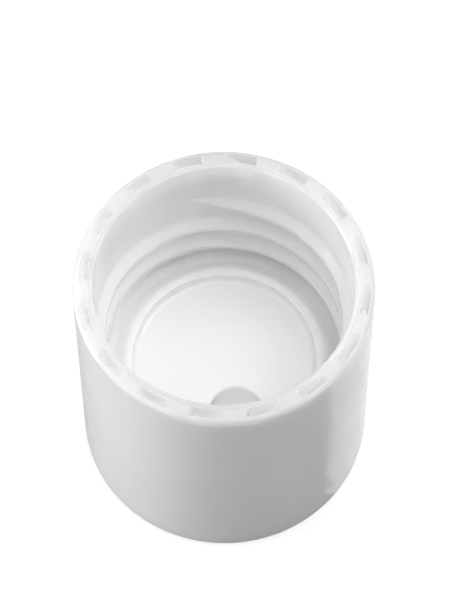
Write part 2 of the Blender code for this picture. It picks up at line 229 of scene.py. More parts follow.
class Moulding:
    """Points and faces of one closed surface, built ring by ring."""

    def __init__(self):
        self.points = []
        self.faces = []
        self.fills = []

    def add(self, points):
        """Add points and return their numbers."""
        first = len(self.points)
        self.points.extend(points)
        return np.arange(first, len(self.points))

    def ring(self, radius, height, angles=azimuths, centre=(0.0, 0.0)):
        """A ring round the axis; radius and height may change from column to column."""
        x = centre[0] + radius * np.cos(angles)
        y = centre[1] + radius * np.sin(angles)
        return self.add(np.column_stack([x, y, np.broadcast_to(height, x.shape)]))

    def skin(self, first, second):
        """Four-sided faces between two rings of as many points."""
        self.faces += list(zip(first, np.roll(first, -1), np.roll(second, -1), second))

    def lathe(self, profile, start=None, **place):
        """Rings along a profile of (radius, height), skinned on from the start ring."""
        rings = [self.ring(radius, height, **place) for radius, height in profile]
        if start is not None:
            rings.insert(0, start)
        for first, second in zip(rings, rings[1:]):
            self.skin(first, second)
        return rings[0], rings[-1]

    def fill_between(self, outer, inner):
        """Remember a flat area between two loops; it is filled when the mesh is made."""
        self.fills.append((outer, inner))

    def cap(self, loop):
        """One flat face across a loop."""
        self.faces.append(list(loop))

    def mesh(self, name):
        """The finished mesh: doubles merged, flats filled, faces turned outwards."""
        bm = bmesh.new()
        points = [bm.verts.new(point) for point in self.points]
        for face in self.faces:
            bm.faces.new([points[number] for number in face])
        for loops in self.fills:
            pairs = [pair for loop in loops for pair in zip(loop, np.roll(loop, -1))]
            edges = [bm.edges.get((points[a], points[b])) for a, b in pairs]
            bmesh.ops.triangle_fill(bm, use_beauty=True, edges=edges)
        bmesh.ops.remove_doubles(bm, verts=bm.verts, dist=MERGE)
        return finished_mesh(name, bm)


def finished_mesh(name, bm):
    """A smooth-shaded mesh with outward faces, and with corners sharper than a rounding kept crisp."""
    bmesh.ops.recalc_face_normals(bm, faces=bm.faces)
    open_edges = sum(not edge.is_manifold for edge in bm.edges)
    mesh = bpy.data.meshes.new(name)
    bm.to_mesh(mesh)
    bm.free()
    mesh.shade_smooth()
    mesh.set_sharp_from_angle(angle=SHARP_ANGLE)
    print(f"{name}: {len(mesh.polygons)} faces, {open_edges} open edges")
    return mesh


body = Moulding()
print("corners sharper than", round(math.degrees(SHARP_ANGLE)), "degrees stay crisp")

# %% [markdown]
# ## The thread
#
# On the real cap the thread is a ridge that winds down the bore wall for three turns, right-hand,
# eight turns to the inch. It grows out of the wall at its start, and its last turn sinks into the
# deck. A separate ridge pushed into the wall would leave a seam, so here the wall itself is woven:
# one long strip follows the helix, and each turn's lower edge is joined to the next turn's upper
# edge. The strip's section is a buttress: a wide sloping flank towards the mouth, a narrow crest,
# and a steep flank that carries the load.

# %% Section of the thread
THREAD_PITCH = 3.175 * MM
THREAD_HEIGHT = 0.76 * MM
THREAD_CREST = 0.55 * MM
THREAD_START_HEIGHT = cap_height - 4.60 * MM
THREAD_TURNS = 3
THREAD_LOAD_ANGLE = math.radians(10.0)
UPPER_FOOT_FILLET = 0.62 * MM
CREST_TOP_FILLET = 0.16 * MM
CREST_LOW_FILLET = 0.12 * MM
LOWER_FOOT_FILLET = 0.30 * MM
WALL_MARGIN = 0.30 * MM


def thread_section():
    """Outline of the ridge as (drop below its upper foot, height over the wall)."""
    load_run = THREAD_HEIGHT * math.tan(THREAD_LOAD_ANGLE)
    crest_top = THREAD_HEIGHT
    crest_low = crest_top + THREAD_CREST
    foot = crest_low + load_run
    corners = [(-WALL_MARGIN, 0, 0), (0, 0, UPPER_FOOT_FILLET),
               (crest_top, THREAD_HEIGHT, CREST_TOP_FILLET), (crest_low, THREAD_HEIGHT, CREST_LOW_FILLET),
               (foot, 0, LOWER_FOOT_FILLET), (foot + WALL_MARGIN, 0, 0)]
    return rounded(corners)[1:-1]


section = thread_section()
print("thread section:", len(section), "points,", f"{section[-1][0] / MM:.2f} mm wide at its foot")

# %% [markdown]
# ## Weave the bore wall
#
# The ridge's height is a share of its full height. It rises steeply at first and then gently over
# the start of the first turn, as a cutter leaves it, and falls evenly over the end of the third.
# Where the strip has sunk below the deck, its points stay on the deck, and the ridge's outline at
# that level is where deck and ridge meet.

# %% Weave the bore wall
RUN_IN_DEG = 31.0
RUN_OUT_DEG = 30.0
RUN_IN_GAIN = 1.06
RUN_IN_SOFTNESS = 0.12


def thread_share(turned_deg):
    """How much of its full height the ridge has, along its length."""
    left_deg = 360.0 * THREAD_TURNS - turned_deg
    run_in = turned_deg / RUN_IN_DEG
    rise = RUN_IN_GAIN * run_in / math.sqrt(run_in + RUN_IN_SOFTNESS)
    return min(1.0, rise, left_deg / RUN_OUT_DEG)


def strip_station(station):
    """Radii and heights of the strip's points at one station, held above the deck."""
    column = (start_column - station) % column_count
    turned_deg = (columns_deg[start_column] - columns_deg[column]) % 360.0
    turned_deg += 360.0 * (station // column_count)
    upper_foot = THREAD_START_HEIGHT - THREAD_PITCH * turned_deg / 360.0
    share = thread_share(turned_deg)
    drops, heights = section[:, 0] * share, section[:, 1] * share
    if station % column_count == 0 and station > 0 and share == 0:
        drops = drops * 0
    level = upper_foot - drops
    at_deck = np.interp(upper_foot - deck_top, drops, heights) if share > 0 else 0.0
    sunk = level < deck_top
    heights = np.where(sunk, at_deck, heights)
    return column, bore_radius - heights, np.where(sunk, deck_top, level)


def weave_strip():
    """Point numbers of the whole strip: one row for each station."""
    rows = []
    for station in range(THREAD_TURNS * column_count + 1):
        column, radii, levels = strip_station(station)
        x, y = radii * math.cos(azimuths[column]), radii * math.sin(azimuths[column])
        rows.append(body.add(np.column_stack([x, y, levels])))
    return np.array(rows)


def weave_faces(strip, top_ring, floor_ring):
    """Faces of the strip, between its turns, above the first turn and below the last."""
    turn = column_count
    column_of = [(start_column - station) % turn for station in range(THREAD_TURNS * turn + 1)]
    for station in range(THREAD_TURNS * turn):
        here, there = strip[station], strip[station + 1]
        body.faces += list(zip(here[:-1], there[:-1], there[1:], here[1:]))
        if station < (THREAD_TURNS - 1) * turn:
            body.faces.append((here[-1], there[-1], strip[station + 1 + turn][0], strip[station + turn][0]))
    for station in range(turn):
        face = [top_ring[column_of[station]], top_ring[column_of[station + 1]],
                strip[station + 1][0], strip[station][0]]
        if station == turn - 1:
            face.insert(2, strip[0][0])
        body.faces.append(face)
    last_turn = (THREAD_TURNS - 1) * turn
    for station in range(last_turn, last_turn + turn):
        face = [strip[station][-1], strip[station + 1][-1], floor_ring[column_of[station + 1]],
                floor_ring[column_of[station]]]
        if station == last_turn:
            face.append(strip[-1][-1])
        body.faces.append(face)


strip = weave_strip()
print("woven strip:", strip.shape)

# %% [markdown]
# ## Deck and sealing ring
#
# The bore ends in a shallow gutter. Inside the gutter a low ring stands up from the deck, which
# seals on the bottle's mouth, and inside the ring the deck is flat. The ring's outer side is a
# soft slope and its inner edge is crisp. The corner between wall and gutter is rounded, but the
# rounding shrinks to nothing where the thread sinks into the deck.

# %% Deck side of the bore
BORE_FILLET = 0.30 * MM
FILLET_GAP = 0.02 * MM
FILLET_START_DEG = 0.4
FILLET_RISE_PER_DEG = 0.025 * MM
SEAL_SLOPE_OUT = 0.55 * MM
SEAL_SLOPE_IN = 0.50 * MM
SEAL_OUTER_FILLET = 0.65 * MM
SEAL_INNER_FILLET = 0.10 * MM
SEAL_INNER_FOOT = 0.40 * MM


def floor_outline():
    """Radius where the wall meets the deck, and the room for a rounding, column by column."""
    radius = np.full(column_count, bore_radius)
    room = np.full(column_count, BORE_FILLET)
    last_turn = (THREAD_TURNS - 1) * column_count
    for station in range(last_turn, last_turn + column_count):
        column, radii, levels = strip_station(station)
        radius[column] = radii[-1]
        past_end = (columns_deg[start_column] - columns_deg[column]) % 360.0
        to_deck = levels[-1] - deck_top - FILLET_GAP
        allowed = min(to_deck, (FILLET_START_DEG + past_end) * FILLET_RISE_PER_DEG)
        room[column] = np.clip(allowed, 0.0, BORE_FILLET)
    return radius, room


wall_radius, fillet_room = floor_outline()
floor_ring = body.ring(wall_radius, deck_top + fillet_room)
previous = floor_ring
for step in range(1, CORNER_STEPS + 1):
    angle = math.pi / 2 * step / CORNER_STEPS
    current = body.ring(wall_radius - fillet_room * (1 - math.cos(angle)),
                        deck_top + fillet_room * (1 - math.sin(angle)))
    body.skin(previous, current)
    previous = current

seal_profile = rounded([(bore_radius, deck_top, 0),
                        (seal_outer + SEAL_SLOPE_OUT, deck_top, SEAL_OUTER_FILLET),
                        (seal_outer - SEAL_SLOPE_IN, seal_top, SEAL_OUTER_FILLET),
                        (seal_inner, seal_top, SEAL_INNER_FILLET), (seal_inner, deck_top, SEAL_INNER_FOOT),
                        (seal_inner - MM, deck_top, 0)])[1:]
_, deck_loop = body.lathe(seal_profile, start=previous)
print("sealing ring rows:", len(seal_profile))

# %% [markdown]
# ## Rim and skirt
#
# Above the thread the bore is plain up to the rim. The rim is a flat land with rounded edges,
# and the notches will be pressed into it in a later step. The land needs extra rows where the
# pockets' side walls will stand. Beside the pockets runs the faint line that the mould leaves
# where its core meets the cavity. From the rim the outline runs down the skirt, round the ring
# that the cap stands on, and into the chamber under the disc.

# %% Rim, skirt and chamber
RIM_INNER_FILLET = 0.22 * MM
RIM_OUTER_FILLET = 0.30 * MM
RING_FILLET = 0.35 * MM
CHAMFER = 0.20 * MM
CHAMFER_FILLET = 0.08 * MM
CHAMBER_FILLET = 0.30 * MM
EDGE_STEPS = 6
SKIRT_STEPS = 7
POCKET_INNER = bore_radius + 0.50 * MM
POCKET_OUTER = skirt_radius - RIM_OUTER_FILLET - 0.04 * MM
POCKET_WALL = 0.17 * MM
WALL_ROWS = 6
FLOOR_ROWS = 3
FLOOR_MARGIN = 1.3 * POCKET_WALL
LINE_ROWS = 7
LINE_RADIUS = bore_radius + 0.35 * MM
LINE_WIDTH = 0.16 * MM
LINE_DEPTH = 0.05 * MM

top_ring = body.ring(bore_radius, THREAD_START_HEIGHT + 2 * WALL_MARGIN)
weave_faces(strip, top_ring, floor_ring)

inner_edge = rounded([(bore_radius, cap_height - 2 * MM, 0), (bore_radius, cap_height, RIM_INNER_FILLET),
                      (POCKET_INNER, cap_height, 0)], EDGE_STEPS)[1:-1]
line_shares = np.linspace(-1, 1, LINE_ROWS)
mould_line = [(LINE_RADIUS + LINE_WIDTH / 2 * share,
               cap_height - LINE_DEPTH * math.cos(math.pi / 2 * share) ** 2) for share in line_shares]
land_radii = list(np.linspace(POCKET_INNER, POCKET_INNER + POCKET_WALL, WALL_ROWS))
land_radii += list(np.linspace(POCKET_INNER + FLOOR_MARGIN, POCKET_OUTER - FLOOR_MARGIN, FLOOR_ROWS))
land_radii += list(np.linspace(POCKET_OUTER - POCKET_WALL, POCKET_OUTER, WALL_ROWS))
land = [(radius, cap_height) for radius in land_radii]
outer_side = rounded([(POCKET_OUTER, cap_height, 0), (skirt_radius, cap_height, RIM_OUTER_FILLET),
                      (skirt_radius, 0, RING_FILLET), (recess_radius + CHAMFER, 0, CHAMFER_FILLET),
                      (recess_radius, CHAMFER, CHAMFER_FILLET), (recess_radius, deck_under, CHAMBER_FILLET),
                      (collar_radius, deck_under, 0)], SKIRT_STEPS)[1:-1]
rim_rows = [*inner_edge, *mould_line, *land, *outer_side]
_, under_loop = body.lathe(rim_rows, start=top_ring)
print("rows from bore to chamber:", len(rim_rows))

# %% [markdown]
# ## Pouring hole and collar
#
# The hole goes through the deck, off centre, and a collar carries it on towards the disc, where
# the plug shuts it. It is one more turned profile on its own axis. Its two ends are loops in the
# two flat sides of the deck, and the flats are filled between those loops and the big ones.

# %% Pouring hole
HOLE_COLUMNS = 96
HOLE_LIP = 0.22 * MM
HOLE_MOUTH_FILLET = 0.15 * MM
COLLAR_LIP = 0.20 * MM
COLLAR_ROOT = 0.25 * MM
HOLE_MARGIN = 0.5 * MM

hole_angles = np.linspace(0, 2 * math.pi, HOLE_COLUMNS, endpoint=False)
hole_profile = rounded([(orifice_radius + HOLE_MARGIN, deck_top, 0), (orifice_radius, deck_top, HOLE_LIP),
                        (orifice_radius, collar_mouth, HOLE_MOUTH_FILLET),
                        (collar_radius, collar_mouth, COLLAR_LIP), (collar_radius, deck_under, COLLAR_ROOT),
                        (collar_radius + HOLE_MARGIN, deck_under, 0)])[1:-1]
hole_top, hole_under = body.lathe(hole_profile, angles=hole_angles, centre=(0.0, -orifice_offset))
body.fill_between(deck_loop, hole_top)
body.fill_between(under_loop, hole_under)
body_mesh = body.mesh("cap_shell")

# %% [markdown]
# ## Helpers for node trees
#
# A node tree is a sum written with boxes and wires. Four small helpers write it almost as a
# formula, and the geometry tree and the plastic below both use them: one feeds a socket, one adds
# a maths node, one maps a range to another, and one measures how far a point is from the axis.

# %% Helpers for node trees
def feed(tree, socket, value):
    """Set a socket to a number, or link it to another socket."""
    if isinstance(value, bpy.types.NodeSocket):
        tree.links.new(value, socket)
    else:
        socket.default_value = value


def maths(tree, operation, *values):
    """One maths node, which returns its result's socket."""
    node = tree.nodes.new("ShaderNodeMath")
    node.operation = operation
    for socket, value in zip(node.inputs, values):
        feed(tree, socket, value)
    return node.outputs[0]


def ramp(tree, value, from_low, from_high, to_low, to_high, soft=False):
    """Map one range to another; a soft ramp eases in and out."""
    node = tree.nodes.new("ShaderNodeMapRange")
    node.interpolation_type = "SMOOTHSTEP" if soft else "LINEAR"
    for label, number in (("Value", value), ("From Min", from_low), ("From Max", from_high),
                          ("To Min", to_low), ("To Max", to_high)):
        feed(tree, node.inputs[label], number)
    return node.outputs["Result"]


def from_axis(tree, x, y):
    """Distance of the point (x, y) from the cap's axis."""
    squares = [maths(tree, "MULTIPLY", side, side) for side in (x, y)]
    return maths(tree, "SQRT", maths(tree, "ADD", *squares))


print("node helpers ready")

# %% [markdown]
# ## Notches in the rim
#
# The rim's notches all follow one rule, so Geometry Nodes press them in. The tree works out each
# point's azimuth, folds it into one period, and lowers the land: nothing on the land between two
# notches, then a straight ramp that falls clockwise to a level floor, and a short steep end. The
# pocket's two side walls are smooth steps in the radius. All its sizes are named inputs.

# %% Tree that presses the notches
NOTCH_INPUTS = ["Count", "Phase", "Span", "Floor End", "Steep Width", "Depth",
                "Inner Radius", "Outer Radius", "Wall", "Rim Height"]
LAND_TOLERANCE = 0.01 * MM


def new_tree(name, inputs):
    """A geometry tree with named number inputs, and its in and out nodes."""
    tree = bpy.data.node_groups.new(name, "GeometryNodeTree")
    tree.interface.new_socket("Geometry", in_out="INPUT", socket_type="NodeSocketGeometry")
    for label in inputs:
        tree.interface.new_socket(label, in_out="INPUT", socket_type="NodeSocketFloat")
    tree.interface.new_socket("Geometry", in_out="OUTPUT", socket_type="NodeSocketGeometry")
    return tree, tree.nodes.new("NodeGroupInput"), tree.nodes.new("NodeGroupOutput")


def notch_tree():
    """Lower the rim's land by a ring of one-way pockets."""
    tree, given, result = new_tree("press_notches", NOTCH_INPUTS)
    get = given.outputs
    where = tree.nodes.new("GeometryNodeInputPosition")
    split = tree.nodes.new("ShaderNodeSeparateXYZ")
    tree.links.new(where.outputs[0], split.inputs[0])
    x, y, z = split.outputs
    azimuth = maths(tree, "DEGREES", maths(tree, "ARCTAN2", y, x))
    period = maths(tree, "DIVIDE", 360.0, get["Count"])
    local = maths(tree, "FLOORED_MODULO", maths(tree, "SUBTRACT", azimuth, get["Phase"]), period)
    radius = from_axis(tree, x, y)
    falling = ramp(tree, local, get["Floor End"], get["Span"], 1.0, 0.0)
    steep = ramp(tree, local, 0.0, get["Steep Width"], 0.0, 1.0, soft=True)
    inner_foot = maths(tree, "ADD", get["Inner Radius"], get["Wall"])
    outer_foot = maths(tree, "SUBTRACT", get["Outer Radius"], get["Wall"])
    inner = ramp(tree, radius, get["Inner Radius"], inner_foot, 0.0, 1.0, soft=True)
    outer = ramp(tree, radius, outer_foot, get["Outer Radius"], 1.0, 0.0, soft=True)
    on_rim = maths(tree, "GREATER_THAN", z, maths(tree, "SUBTRACT", get["Rim Height"], LAND_TOLERANCE))
    depth = get["Depth"]
    for factor in (falling, steep, inner, outer, on_rim):
        depth = maths(tree, "MULTIPLY", depth, factor)

    offset = tree.nodes.new("ShaderNodeCombineXYZ")
    tree.links.new(maths(tree, "MULTIPLY", depth, -1.0), offset.inputs["Z"])
    press = tree.nodes.new("GeometryNodeSetPosition")
    tree.links.new(get["Geometry"], press.inputs["Geometry"])
    tree.links.new(offset.outputs[0], press.inputs["Offset"])
    realize = tree.nodes.new("GeometryNodeRealizeInstances")
    paint = tree.nodes.new("GeometryNodeSetMaterial")
    tree.links.new(press.outputs[0], realize.inputs[0])
    tree.links.new(realize.outputs[0], paint.inputs["Geometry"])
    tree.links.new(paint.outputs[0], result.inputs[0])
    return tree, paint


press_notches, notch_paint = notch_tree()
print("notch tree:", len(press_notches.nodes), "nodes")

# %% [markdown]
# ## White polypropylene
#
# The plastic is bright white and a little translucent. Light goes about a millimetre into it and
# comes out again beside the spot, which softens every shadow inside the cap, and the shader's
# subsurface part does that. The rim is cut up by its notches, and light reaches them through the
# thin walls, so there it goes several millimetres deep. On the skirt that deep part is only a
# narrow band. Slow noise varies the roughness, so that a highlight is never perfectly even.

# %% Plastic
WHITE = (0.975, 0.976, 0.978, 1.0)
PLASTIC_IOR = 1.49
LIGHT_TINT = (1.0, 0.95, 0.9)
WALL_LIGHT = 1.1 * MM
RIM_LIGHT = 8.0 * MM
RIM_STARTS = cap_height - 2.2 * MM
RIM_FULL = cap_height - 1.4 * MM
SKIRT_SHIFT = 1.2 * MM
SKIRT_STARTS = skirt_radius - 0.06 * MM
SKIRT_FULL = skirt_radius - 0.02 * MM
SKIN_SCALE = 260.0
SKIN_DETAIL = 2.0
SKIN_ROUGHNESS = 0.03
SKIN_NOISE = (0.3, 0.7)
BODY_ROUGHNESS = 0.15
DISC_ROUGHNESS = 0.18


def shader_noise(tree, coords, scale, detail):
    """Noise in object space."""
    noise = tree.nodes.new("ShaderNodeTexNoise")
    noise.inputs["Scale"].default_value = scale
    noise.inputs["Detail"].default_value = detail
    tree.links.new(coords, noise.inputs["Vector"])
    return noise.outputs["Fac"]


def light_depth(tree, coords):
    """How far light goes into the plastic: little in walls and deck, more in the rim."""
    split = tree.nodes.new("ShaderNodeSeparateXYZ")
    tree.links.new(coords, split.inputs[0])
    x, y, z = split.outputs
    skirt = ramp(tree, from_axis(tree, x, y), SKIRT_STARTS, SKIRT_FULL, 0.0, SKIRT_SHIFT)
    level = maths(tree, "SUBTRACT", z, skirt)
    return ramp(tree, level, RIM_STARTS, RIM_FULL, WALL_LIGHT, RIM_LIGHT)


def white_plastic(name, roughness):
    """White polypropylene with a soft gloss and a faint mould skin."""
    material = bpy.data.materials.new(name)
    material.use_nodes = True
    tree = material.node_tree
    shader = tree.nodes["Principled BSDF"]
    shader.inputs["Base Color"].default_value = WHITE
    shader.inputs["IOR"].default_value = PLASTIC_IOR
    shader.inputs["Subsurface Weight"].default_value = 1.0
    shader.inputs["Subsurface Radius"].default_value = LIGHT_TINT
    coords = tree.nodes.new("ShaderNodeTexCoord").outputs["Object"]
    tree.links.new(light_depth(tree, coords), shader.inputs["Subsurface Scale"])
    slow = shader_noise(tree, coords, SKIN_SCALE, SKIN_DETAIL)
    uneven = ramp(tree, slow, *SKIN_NOISE, roughness - SKIN_ROUGHNESS, roughness + SKIN_ROUGHNESS)
    tree.links.new(uneven, shader.inputs["Roughness"])
    return material


body_plastic = white_plastic("body_plastic", BODY_ROUGHNESS)
disc_plastic = white_plastic("disc_plastic", DISC_ROUGHNESS)
print("finishes:", body_plastic.name, disc_plastic.name)

# %% [markdown]
# ## Press the notches
#
# The modifier's inputs are set by their identifiers. The evaluated result becomes a plain mesh,
# so that nothing live is left on the piece.

# %% Press the notches
NOTCH_DEPTH = 1.25 * MM


def add_piece(name, data):
    """Link a mesh or a light as an object at the origin."""
    item = bpy.data.objects.new(name, data)
    bpy.context.collection.objects.link(item)
    return item


def bake(item):
    """Turn what an object's modifiers make into its plain mesh."""
    depsgraph = bpy.context.evaluated_depsgraph_get()
    mesh = bpy.data.meshes.new_from_object(item.evaluated_get(depsgraph))
    item.modifiers.clear()
    item.data = mesh


def run_tree(item, tree, values):
    """Run a geometry tree on an object with the given inputs."""
    modifier = item.modifiers.new(tree.name, "NODES")
    modifier.node_group = tree
    sockets = [socket for socket in tree.interface.items_tree if socket.in_out == "INPUT"]
    names = {socket.name: socket.identifier for socket in sockets}
    for label, value in values.items():
        modifier[names[label]] = value
    bake(item)


cap_shell = add_piece("cap_shell", body_mesh)
notch_paint.inputs["Material"].default_value = body_plastic
run_tree(cap_shell, press_notches, {
    "Count": NOTCH_COUNT, "Phase": NOTCH_PHASE_DEG, "Span": NOTCH_SPAN_DEG, "Floor End": NOTCH_FLOOR_END_DEG,
    "Steep Width": NOTCH_STEEP_DEG, "Depth": NOTCH_DEPTH, "Inner Radius": POCKET_INNER,
    "Outer Radius": POCKET_OUTER, "Wall": POCKET_WALL, "Rim Height": cap_height})
print("body:", len(cap_shell.data.polygons), "faces, materials", [m.name for m in cap_shell.data.materials])

# %% [markdown]
# ## Blocks and rods
#
# The few shapes on the disc side follow no rule worth a tree. Rounded blocks and turned rods are
# joined to a piece or cut out of it by exact booleans, and each tool is used up. A long row of
# cuts can leave points a hair apart, so one helper welds them.

# %% Blocks and rods
WELD = 0.002 * MM
BEVEL_STEPS = 4


def block(name, x_range, y_range, z_range, edge):
    """A box given by its ranges, with rounded edges."""
    bm = bmesh.new()
    bmesh.ops.create_cube(bm, size=1.0)
    low, high = (Vector(corner) for corner in zip(x_range, y_range, z_range))
    bmesh.ops.scale(bm, vec=high - low, verts=bm.verts)
    bmesh.ops.translate(bm, vec=(low + high) / 2, verts=bm.verts)
    if edge:
        bmesh.ops.bevel(bm, geom=bm.edges, offset=edge, segments=BEVEL_STEPS, profile=0.5,
                         affect="EDGES")
    return add_piece(name, finished_mesh(name, bm))


def spun(name, profile, columns, place=Matrix.Identity(4)):
    """A solid turned from (radius, height) corners, closed by flat ends, and put in its place."""
    solid = Moulding()
    angles = np.linspace(0, 2 * math.pi, columns, endpoint=False)
    for end in solid.lathe(profile, angles=angles):
        solid.cap(end)
    mesh = solid.mesh(name)
    mesh.transform(place)
    return add_piece(name, mesh)


def combine(item, tool, operation):
    """Join, cut or trim a piece with a tool, which is used up."""
    modifier = item.modifiers.new(tool.name, "BOOLEAN")
    modifier.object = tool
    modifier.operation = operation
    modifier.solver = "EXACT"
    bake(item)
    bpy.data.objects.remove(tool)


def weld(item):
    """Merge the doubles and remove the slivers that a row of cuts can leave."""
    bm = bmesh.new()
    bm.from_mesh(item.data)
    bmesh.ops.remove_doubles(bm, verts=bm.verts, dist=WELD)
    bmesh.ops.dissolve_degenerate(bm, edges=bm.edges, dist=WELD)
    bm.to_mesh(item.data)
    bm.free()


def along_x(x, y, z, side):
    """Placement that turns a part's own +Z to point to one side along X."""
    return Matrix.Translation((x, y, z)) @ Matrix.Rotation(side * math.pi / 2, 4, "Y")


print("tools ready")

# %% [markdown]
# ## Chamber under the disc
#
# The disc snaps into two round sockets in the chamber's wall, each with a shallow groove that
# leads the pivot pin in. Three ribs at the rear stop the disc when it is pressed. The ribs are
# joined to the body first, and the grooves and sockets are cut after them.

# %% Pivot sockets, grooves and ribs
PIVOT_HEIGHT = 2.00 * MM
DISC_RADIUS = 9.15 * MM
PIN_RADIUS = 0.80 * MM
PIN_LENGTH = 0.95 * MM
PIVOT_GAP = 0.30 * MM
GROOVE_DEPTH = 0.30 * MM
GROOVE_HALF_WIDTH = 0.95 * MM
RIB_HEIGHT = 5.195 * MM
RIB_WIDTH = 1.10 * MM
RIB_REACH = 1.60 * MM
RIB_SPREAD = math.radians(28.0)
RIB_EDGE = 0.15 * MM
OVERCUT = 0.40 * MM
PIN_COLUMNS = 48

for number in (-1, 0, 1):
    rib = block("rib", (-RIB_WIDTH / 2, RIB_WIDTH / 2), (recess_radius - RIB_REACH, recess_radius + OVERCUT),
                (RIB_HEIGHT, deck_under + OVERCUT), RIB_EDGE)
    rib.data.transform(Matrix.Rotation(number * RIB_SPREAD, 4, "Z"))
    combine(cap_shell, rib, "UNION")

for side in (-1, 1):
    groove_range = sorted((side * (recess_radius - OVERCUT), side * (recess_radius + GROOVE_DEPTH)))
    groove = block("groove", groove_range, (-GROOVE_HALF_WIDTH, GROOVE_HALF_WIDTH),
                   (-OVERCUT, PIVOT_HEIGHT), 0)
    combine(cap_shell, groove, "DIFFERENCE")
    socket_radius = PIN_RADIUS + PIVOT_GAP
    socket_depth = DISC_RADIUS + PIN_LENGTH + PIVOT_GAP - recess_radius + OVERCUT
    socket = spun("socket", [(socket_radius, 0), (socket_radius, socket_depth)], PIN_COLUMNS,
                  along_x(side * (recess_radius - OVERCUT), 0, PIVOT_HEIGHT, side))
    combine(cap_shell, socket, "DIFFERENCE")

cap_shell.data.materials.clear()
cap_shell.data.materials.append(body_plastic)
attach(cap_shell, "cap")
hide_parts("cap_body")
print("body with its chamber:", len(cap_shell.data.polygons), "faces")

# %% [markdown]
# ## Disc plate
#
# The disc's outer face is flat, with a rounded edge and a shallow thumb dimple at the rear. The
# dimple is a piece of a ball, and a soft maximum of ball and flat gives its edge a gentle
# rounding. The flat between edge and dimple is filled as the deck was.

# %% Disc plate
DISC_FACE = 0.35 * MM
PLATE_UNDER = 1.75 * MM
PLATE_EDGE = 0.25 * MM
PLATE_UNDER_EDGE = 0.10 * MM
DIMPLE_RADIUS = 3.90 * MM
DIMPLE_DEPTH = 0.60 * MM
DIMPLE_REAR = 4.25 * MM
DIMPLE_SOFTNESS = 0.03 * MM
DIMPLE_OUTSIDE = 1.15
DIMPLE_MIDDLE = 0.01
DIMPLE_ROWS = 30
DISC_COLUMNS = 192
DIMPLE_COLUMNS = 96

disc_angles = np.linspace(0, 2 * math.pi, DISC_COLUMNS, endpoint=False)
dimple_angles = np.linspace(0, 2 * math.pi, DIMPLE_COLUMNS, endpoint=False)


def dimple_profile():
    """(radius, height) from outside the dimple to its middle."""
    ball = (DIMPLE_RADIUS ** 2 + DIMPLE_DEPTH ** 2) / (2 * DIMPLE_DEPTH)
    radii = np.linspace(DIMPLE_OUTSIDE * DIMPLE_RADIUS, DIMPLE_MIDDLE * DIMPLE_RADIUS, DIMPLE_ROWS)
    bowl = DIMPLE_DEPTH - ball + np.sqrt(ball ** 2 - radii ** 2)
    heights = DISC_FACE + (bowl + np.sqrt(bowl ** 2 + DIMPLE_SOFTNESS ** 2)) / 2
    heights[0] = DISC_FACE
    return list(zip(radii, heights))


plate = Moulding()
plate_edge = rounded([(DISC_RADIUS - MM, DISC_FACE, 0), (DISC_RADIUS, DISC_FACE, PLATE_EDGE),
                      (DISC_RADIUS, PLATE_UNDER, PLATE_UNDER_EDGE),
                      (DISC_RADIUS - MM, PLATE_UNDER, 0)])[1:-1]
face_loop, plate_under_loop = plate.lathe(plate_edge, angles=disc_angles)
dimple_loop, dimple_middle = plate.lathe(dimple_profile(), angles=dimple_angles, centre=(0.0, DIMPLE_REAR))
plate.cap(plate_under_loop)
plate.cap(dimple_middle)
plate.fill_between(face_loop, dimple_loop)
disc_shell = add_piece("disc_shell", plate.mesh("disc_shell"))
print("dimple", 2 * DIMPLE_RADIUS / MM, "mm wide and", DIMPLE_DEPTH / MM, "mm deep")

# %% [markdown]
# ## Under the disc
#
# A block under the disc's front carries the spout channel and the plug that shuts the pouring
# hole. Two ears carry the pivot pins. Nothing may reach past a circle about the pivots, or the
# disc could not tip, so the blocks are trimmed by a round bar along the pivot axis.

# %% Spout block, ears, plug and pins
BLOCK_UNDER = 4.40 * MM
BLOCK_MARGIN = 0.20 * MM
BLOCK_HALF_WIDTH = collar_radius + BLOCK_MARGIN
BLOCK_ROOT = 0.70 * MM
EAR_HALF_WIDTH = 1.60 * MM
EAR_THICKNESS = 1.30 * MM
EAR_FOOT = 0.20 * MM
MOULDED_EDGE = 0.20 * MM
PLUG_NECK = 1.15 * MM
PLUG_TIP = 1.90 * MM
PLUG_TIP_DROP = 0.70 * MM
PLUG_TIP_HEIGHT = 0.50 * MM
PLUG_TIP_TAPER = 0.40 * MM
PLUG_FILLET = 0.10 * MM
PLUG_TIP_FILLET = 0.08 * MM
PIN_FILLET = 0.24 * MM
ROD_MIDDLE = 0.05 * MM
PLUG_COLUMNS = 64
TRIM_GAP = OVERCUT / 20

block_root = PLATE_UNDER - BLOCK_ROOT
block_rear = -(orifice_offset - BLOCK_HALF_WIDTH)
blocks = block("blocks", (-BLOCK_HALF_WIDTH, BLOCK_HALF_WIDTH), (-skirt_radius, block_rear),
               (block_root, BLOCK_UNDER), MOULDED_EDGE)
for side in (-1, 1):
    ear_range = sorted((side * (DISC_RADIUS - EAR_THICKNESS), side * skirt_radius))
    ear = block("ear", ear_range, (-EAR_HALF_WIDTH, EAR_HALF_WIDTH),
                (block_root, PIVOT_HEIGHT + PIN_RADIUS + EAR_FOOT), MOULDED_EDGE)
    combine(blocks, ear, "UNION")
reach = DISC_RADIUS - TRIM_GAP
combine(blocks, spun("reach", [(reach, DISC_FACE), (reach, deck_under)], DISC_COLUMNS), "INTERSECT")
swing = spun("swing", [(DISC_RADIUS, 0), (DISC_RADIUS, 2 * skirt_radius)], DISC_COLUMNS,
             along_x(-skirt_radius, 0, PIVOT_HEIGHT, 1))
combine(blocks, swing, "INTERSECT")
combine(disc_shell, blocks, "UNION")

